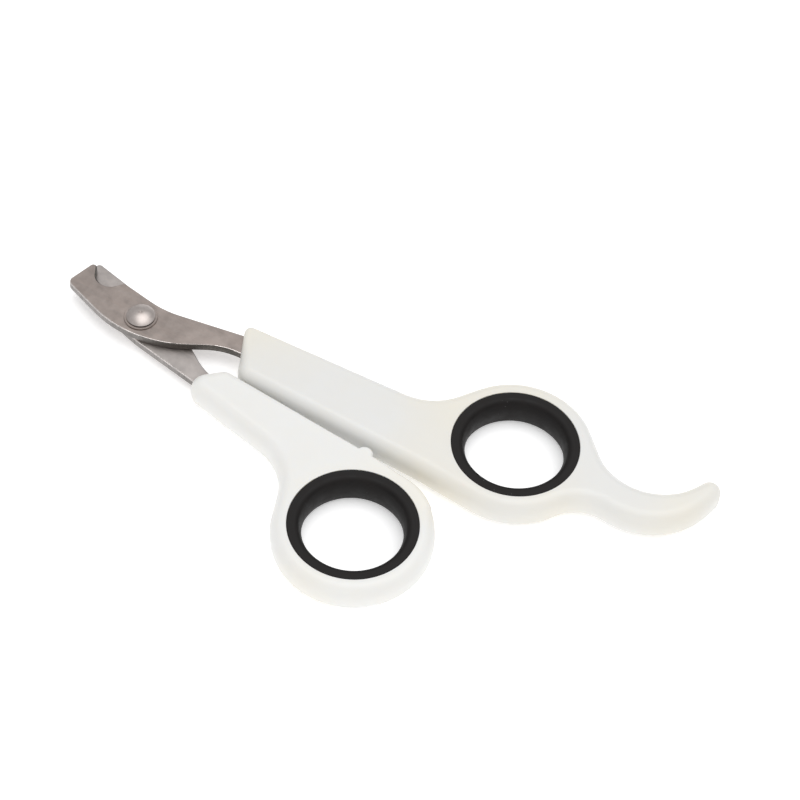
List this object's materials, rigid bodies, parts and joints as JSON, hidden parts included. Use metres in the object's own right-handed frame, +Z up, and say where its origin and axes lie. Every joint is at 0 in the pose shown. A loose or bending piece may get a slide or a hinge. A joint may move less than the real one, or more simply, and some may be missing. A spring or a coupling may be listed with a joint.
{
  "type": "scissor nail clipper",
  "caption": "Pet nail clipper like small scissors: riveted steel blades with claw notches, moulded handles with rubber-lined finger holes and a hooked finger rest.",
  "frame": {"origin": "middle of the closed clipper's box, on the surface it lies on", "axes": "+X from the blade tips towards the finger rest along the parting line of the handles, +Y to the side of the handle with the finger rest, +Z up out of the surface, along the rivet"},
  "size_m": [0.1196, 0.0572, 0.006],
  "materials": {
    "handle_plastic": "satin moulded, milky white",
    "blade_steel": "satin tumbled",
    "insert_rubber": "soft matt black",
    "rivet_steel": "polished"
  },
  "bodies": {
    "finger_rest_half": {"finger_rest_handle": "handle_plastic", "upper_blade": "blade_steel", "upper_ring_insert": "insert_rubber", "pivot_rivet": "rivet_steel", "rivet_washer": "rivet_steel"},
    "plain_half": {"plain_handle": "handle_plastic", "lower_blade": "blade_steel", "lower_ring_insert": "insert_rubber"}
  },
  "joints": [
    {"name": "rivet_hinge", "type": "hinge", "parent": "finger_rest_half", "child": "plain_half", "pos_m": [-0.04417, 0.00267, 0.003], "axis": [0, 0, -1], "range_deg": [0, 60]}
  ]
}
